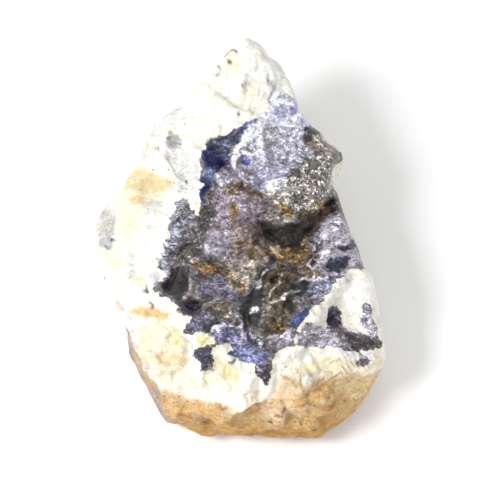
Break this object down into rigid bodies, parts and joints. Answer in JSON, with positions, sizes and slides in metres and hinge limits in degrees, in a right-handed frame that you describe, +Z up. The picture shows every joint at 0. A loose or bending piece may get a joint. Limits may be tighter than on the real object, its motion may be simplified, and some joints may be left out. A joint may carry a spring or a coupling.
{
  "type": "rough cancrinite",
  "caption": "Kite-shaped rough cancrinite specimen, cream rock with a dark blue-violet broken face and a tan rind, resting on a flat spot of its back.",
  "frame": {"origin": "on the ground, under the middle of the stone's box", "axes": "+Z up from the flat resting spot, +Y along the stone towards its pointed tip, +X across it"},
  "size_m": [0.0626, 0.0836, 0.036],
  "materials": {
    "stone": "rough broken rock: chalky cream matrix, glassy dark blue-violet mass, earthy tan rind"
  },
  "bodies": {
    "root": {"cancrinite_stone": "stone"}
  },
  "joints": []
}
